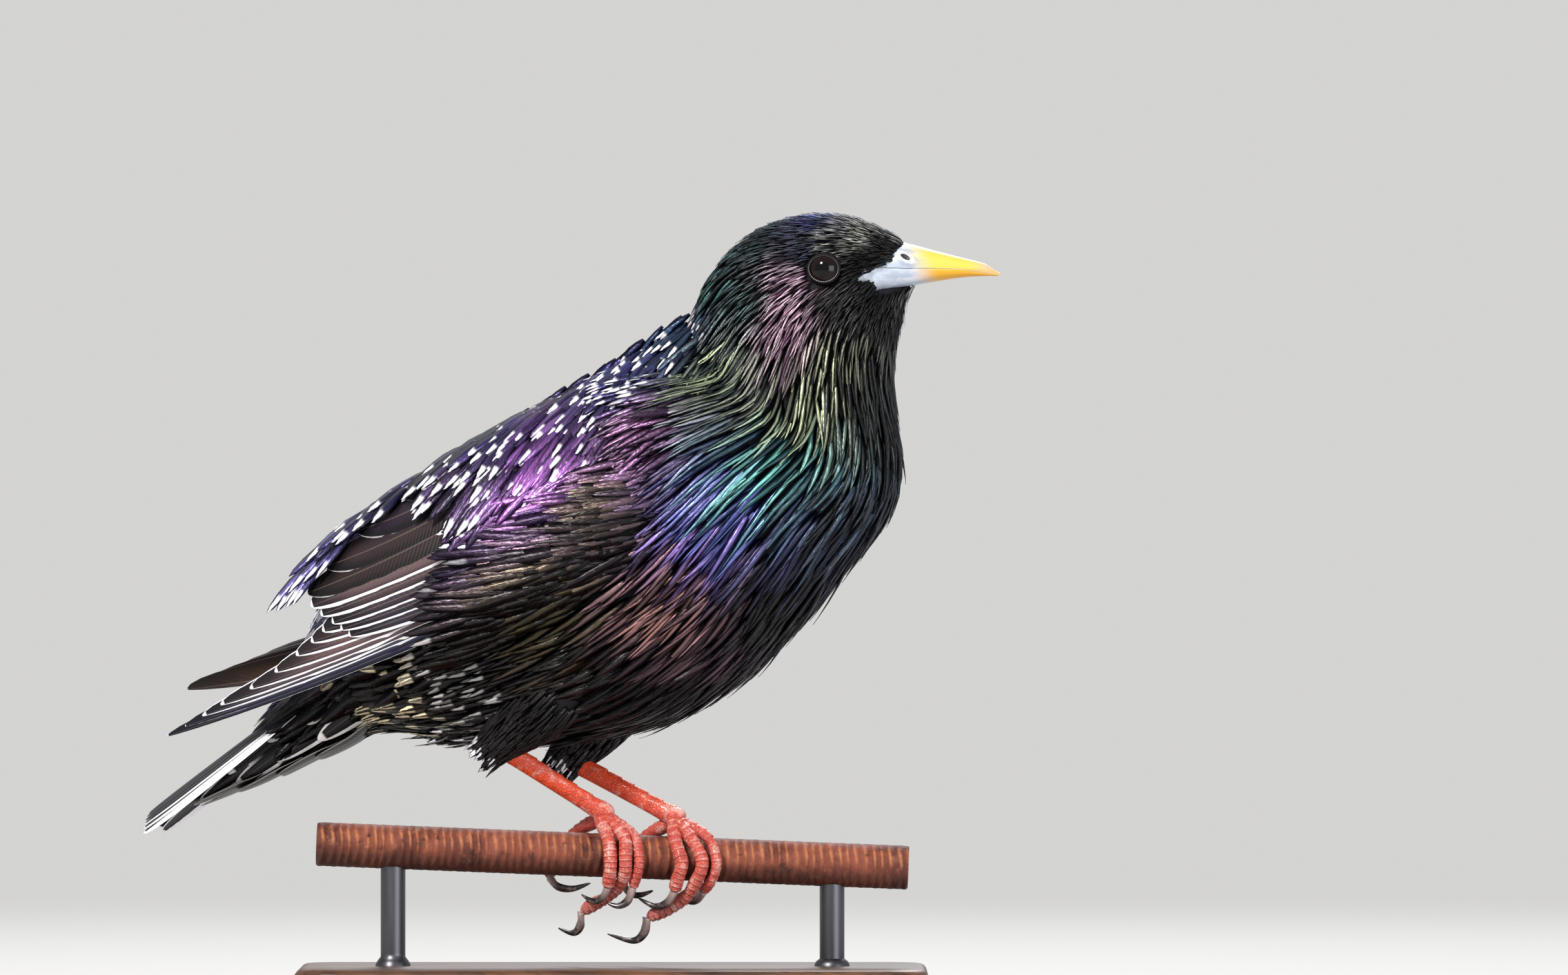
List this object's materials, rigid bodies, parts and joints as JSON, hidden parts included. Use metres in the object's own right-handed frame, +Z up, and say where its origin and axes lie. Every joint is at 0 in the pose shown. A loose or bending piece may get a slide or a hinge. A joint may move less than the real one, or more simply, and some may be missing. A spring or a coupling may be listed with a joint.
{
  "type": "perched starling still model",
  "caption": "Life-size songbird with a pointed yellow bill and glossy spotted plumage, perched on a length of ribbed bar held by a flat display base.",
  "frame": {"origin": "centre of the flat underside of the display base", "axes": "+Z up; the bird faces +X; its left side is +Y"},
  "size_m": [0.1816, 0.093, 0.1655],
  "materials": {
    "head_plumage": "glossy dark feathers, blue-green to purple",
    "neck_plumage": "long pointed glossy feathers, green to blue",
    "body_plumage": "glossy near-black feathers with violet and bronze",
    "wing_plumage": "dark brown feathers with thin pale edges",
    "tail_plumage": "blue-black feathers with pale outer edges",
    "bill": "smooth horn, yellow with a blue-grey base",
    "eye": "wet dark brown",
    "leg": "scaled skin, coral red",
    "claw": "dark horn",
    "rusty_bar": "rusty ribbed steel",
    "stand_steel": "dark satin steel",
    "stand_wood": "dark satin wood"
  },
  "bodies": {
    "root": {"head": "head_plumage", "bill_upper": "bill", "bill_lower": "bill", "eye_left": "eye", "eye_right": "eye", "neck": "neck_plumage", "torso": "body_plumage", "wing_left": "wing_plumage", "wing_right": "wing_plumage", "thigh_right": "body_plumage", "shank_right": "leg", "foot_right": "leg", "claw_right_1": "claw", "claw_right_2": "claw", "claw_right_3": "claw", "claw_right_4": "claw", "thigh_left": "body_plumage", "shank_left": "leg", "foot_left": "leg", "claw_left_1": "claw", "claw_left_2": "claw", "claw_left_3": "claw", "claw_left_4": "claw", "rump": "body_plumage", "tail": "tail_plumage", "perch_bar": "rusty_bar", "stand_rod_left": "stand_steel", "stand_rod_right": "stand_steel", "stand_base": "stand_wood"}
  },
  "joints": []
}
